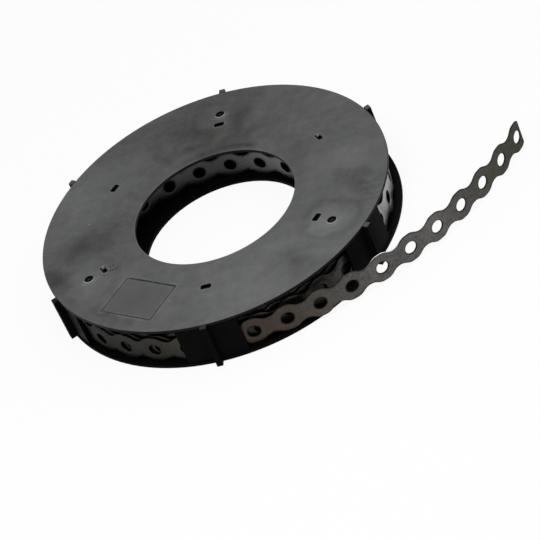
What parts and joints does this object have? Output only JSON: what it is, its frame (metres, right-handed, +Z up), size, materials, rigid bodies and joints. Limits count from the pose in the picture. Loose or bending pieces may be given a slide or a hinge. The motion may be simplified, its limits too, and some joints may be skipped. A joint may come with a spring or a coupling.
{
  "type": "perforated steel strap roll in a cassette",
  "caption": "Coil of perforated steel fixing strap with wavy edges and round holes, in a round open-centre plastic cassette with wall panels and windows, its end pulled out.",
  "frame": {"origin": "on the cassette's axis, at the face it lies on", "axes": "+Z up along the axis of the hand hole; +X through the middle of a window, towards the pulled-out end"},
  "size_m": [0.2694, 0.206, 0.0274],
  "materials": {
    "base_plastic": "black moulded plastic, satin",
    "cover_plastic": "dark grey moulded plastic, satin with flow marks",
    "strap_steel": "bare rolled steel, dark and slightly oily"
  },
  "bodies": {
    "root": {"cassette_base": "base_plastic", "cassette_cover": "cover_plastic", "strap": "strap_steel"}
  },
  "joints": []
}
